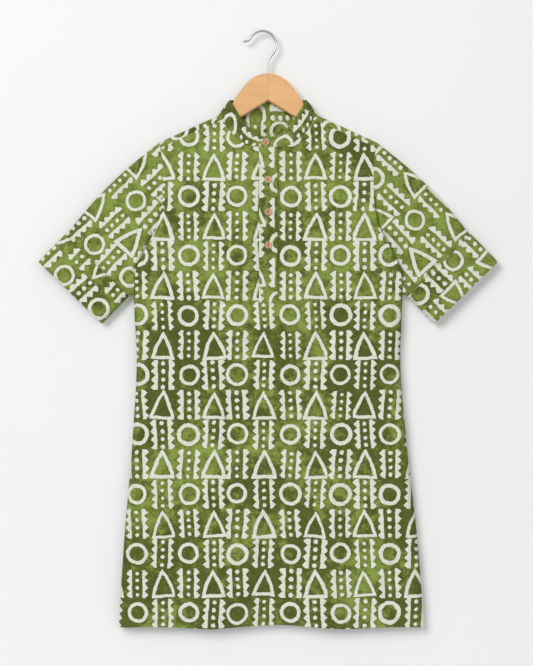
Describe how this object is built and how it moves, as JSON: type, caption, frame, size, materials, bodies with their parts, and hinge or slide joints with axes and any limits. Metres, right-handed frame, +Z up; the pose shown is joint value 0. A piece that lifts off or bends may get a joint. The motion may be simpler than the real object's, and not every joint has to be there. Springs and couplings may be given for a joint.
{
  "type": "kurta tunic on a wooden coat hanger",
  "caption": "Short-sleeved cotton kurta tunic with a stand collar, buttoned half placket, turned-up cuffs and side slits, hung on a coat hanger with a wire hook.",
  "frame": {"origin": "inside of the hook's crown, where the hanger hangs on a rail or peg", "axes": "+Z up, the front of the tunic faces -Y, +X towards the wearer's left"},
  "size_m": [0.733, 0.0377, 0.9535],
  "materials": {
    "printed_cotton": "plain-weave cotton with a resist block print, matt",
    "hanger_wood": "clear satin lacquer on pale beech",
    "hook_wire": "bright plated wire",
    "button_shell": "turned button, satin"
  },
  "bodies": {
    "root": {"front": "printed_cotton", "back": "printed_cotton", "sleeve_left": "printed_cotton", "sleeve_right": "printed_cotton", "cuff_left": "printed_cotton", "cuff_right": "printed_cotton", "collar": "printed_cotton", "placket_over": "printed_cotton", "placket_under": "printed_cotton", "button_1": "button_shell", "button_2": "button_shell", "button_3": "button_shell", "button_4": "button_shell", "hanger_arm_left": "hanger_wood", "hanger_arm_right": "hanger_wood", "hanger_hook": "hook_wire"}
  },
  "joints": []
}
